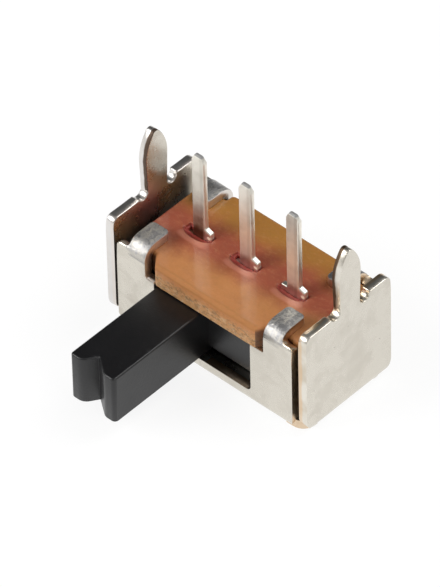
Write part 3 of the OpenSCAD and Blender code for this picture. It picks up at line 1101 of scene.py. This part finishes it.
class SWITCH_OT_stage(bpy.types.Operator):
    """Sets the pale floor, the soft lights and the camera"""

    bl_idname = "switch.stage"
    bl_label = "Stage"

    def execute(self, context):
        sizes = context.scene.switch_stage
        scene = context.scene
        half = sizes.floor_size / 2
        corners = [(-half, -half, 0), (half, -half, 0), (half, half, 0), (-half, half, 0)]
        mesh = bpy.data.meshes.new("floor")
        mesh.from_pydata(corners, [], [(0, 1, 2, 3)])
        floor = bpy.data.objects.new("floor", mesh)
        scene.collection.objects.link(floor)
        mesh.materials.append(self.floor_finish())
        self.light_world(scene)
        self.lamp(scene, "key", (-0.55, -0.75, 0.62), 0.34, 1.5)
        self.lamp(scene, "fill", (0.85, -0.1, 0.5), 0.3, 0.6)
        self.lamp(scene, "back", (0.3, 0.5, 0.85), 0.34, 0.9)
        self.camera(scene, sizes)
        scene.view_settings.view_transform = "Standard"
        return {"FINISHED"}

    def floor_finish(self):
        """A matt floor that looks nearly white to the camera and in reflections."""
        look = Finish("floor")
        rays = look.node("ShaderNodeLightPath", output="Is Camera Ray")
        glossy = look.node("ShaderNodeLightPath", output="Is Glossy Ray")
        seen = look.node("ShaderNodeMath", {"operation": "MAXIMUM"}, {0: rays, 1: glossy})
        matt = look.node("ShaderNodeBsdfDiffuse", None, {"Color": (0.92, 0.92, 0.92, 1)})
        bright = look.node("ShaderNodeEmission", None, {"Color": (1, 1, 1, 1), "Strength": 1.05})
        look.surface(look.node("ShaderNodeMixShader", None, {"Fac": seen * 0.82, 1: matt, 2: bright}))
        return look.owner

    def light_world(self, scene):
        """A grey room that is darker behind the left of the switch, and white to the camera."""
        dark_side = (-0.494, 0.52, 0.697)
        look = Finish("studio", "worlds")
        scene.world = look.owner
        towards = look.node("ShaderNodeTexCoord", output="Generated")
        sockets = {0: towards, 1: dark_side}
        away = look.node("ShaderNodeVectorMath", {"operation": "DISTANCE"}, sockets, "Value")
        room = look.ramp(away, (0.35, 0.05), (0.8, 0.34), smooth=True)
        camera = look.node("ShaderNodeLightPath", output="Is Camera Ray")
        colour = look.mix(camera, room, (1, 1, 1))
        background = look.node("ShaderNodeBackground", None, {"Color": colour, "Strength": 1.0})
        look.surface(background, "ShaderNodeOutputWorld")

    def lamp(self, scene, name, towards, size, power):
        """A round soft lamp, half a metre from the switch and turned to it."""
        data = bpy.data.lights.new(name, "AREA")
        data.shape, data.size, data.energy = "DISK", size, power
        lamp = bpy.data.objects.new(name, data)
        lamp.location = Vector(towards).normalized() * 0.5
        lamp.rotation_mode = "QUATERNION"
        lamp.rotation_quaternion = lamp.location.to_track_quat("Z", "Y")
        scene.collection.objects.link(lamp)

    def camera(self, scene, sizes):
        """A long lens, a little to the left and low, so that the switch sits off centre."""
        target, distance = Vector((0, 0, 2.815e-3)), 0.25
        left_by, down_by = 0.888e-3, 0.523e-3
        a, e, r = sizes.azimuth, sizes.elevation, sizes.roll
        back = Vector((math.sin(a) * math.cos(e), -math.cos(a) * math.cos(e), math.sin(e)))
        right = Vector((math.cos(a), math.sin(a), 0.0))
        up = back.cross(right)
        turned = right * math.cos(r) + up * math.sin(r)
        upright = up * math.cos(r) - right * math.sin(r)
        data = bpy.data.cameras.new("view")
        data.lens, data.sensor_width, data.clip_start, data.clip_end = 485.84, 36.0, 0.01, 20.0
        camera = bpy.data.objects.new("view", data)
        camera.matrix_world = Matrix((turned, upright, back)).transposed().to_4x4()
        camera.location = target - turned * left_by - upright * down_by + back * distance
        scene.collection.objects.link(camera)
        scene.camera = camera


PIECES = (
    SWITCH_OT_sheet_frame,
    SWITCH_OT_board,
    SWITCH_OT_terminals,
    SWITCH_OT_lever,
    SWITCH_OT_clip,
    SWITCH_OT_stage,
)


class SWITCH_PT_panel(bpy.types.Panel):
    """The pieces and their sizes"""

    bl_label = "Slide switch"
    bl_idname = "SWITCH_PT_panel"
    bl_space_type = "VIEW_3D"
    bl_region_type = "UI"
    bl_category = "Slide switch"

    def draw(self, context):
        for piece in PIECES:
            self.layout.operator(piece.bl_idname)
        for name in GROUPS:
            box = self.layout.box()
            group = getattr(context.scene, name)
            for key in group.bl_rna.properties.keys():
                if key not in ("rna_type", "name"):
                    box.prop(group, key)


GROUPS = {
    "switch_sheet": SheetSizes,
    "switch_board": BoardSizes,
    "switch_pins": PinSizes,
    "switch_lever": LeverSizes,
    "switch_stage": StageSizes,
}


def register():
    for kind in (*GROUPS.values(), *PIECES, SWITCH_PT_panel):
        bpy.utils.register_class(kind)
    for name, kind in GROUPS.items():
        setattr(bpy.types.Scene, name, PointerProperty(type=kind))


def unregister():
    for name in GROUPS:
        delattr(bpy.types.Scene, name)
    for kind in reversed((*GROUPS.values(), *PIECES, SWITCH_PT_panel)):
        bpy.utils.unregister_class(kind)


def main():
    register()
    for piece in PIECES:
        group, name = piece.bl_idname.split(".")
        getattr(getattr(bpy.ops, group), name)()


if __name__ == "__main__":
    main()
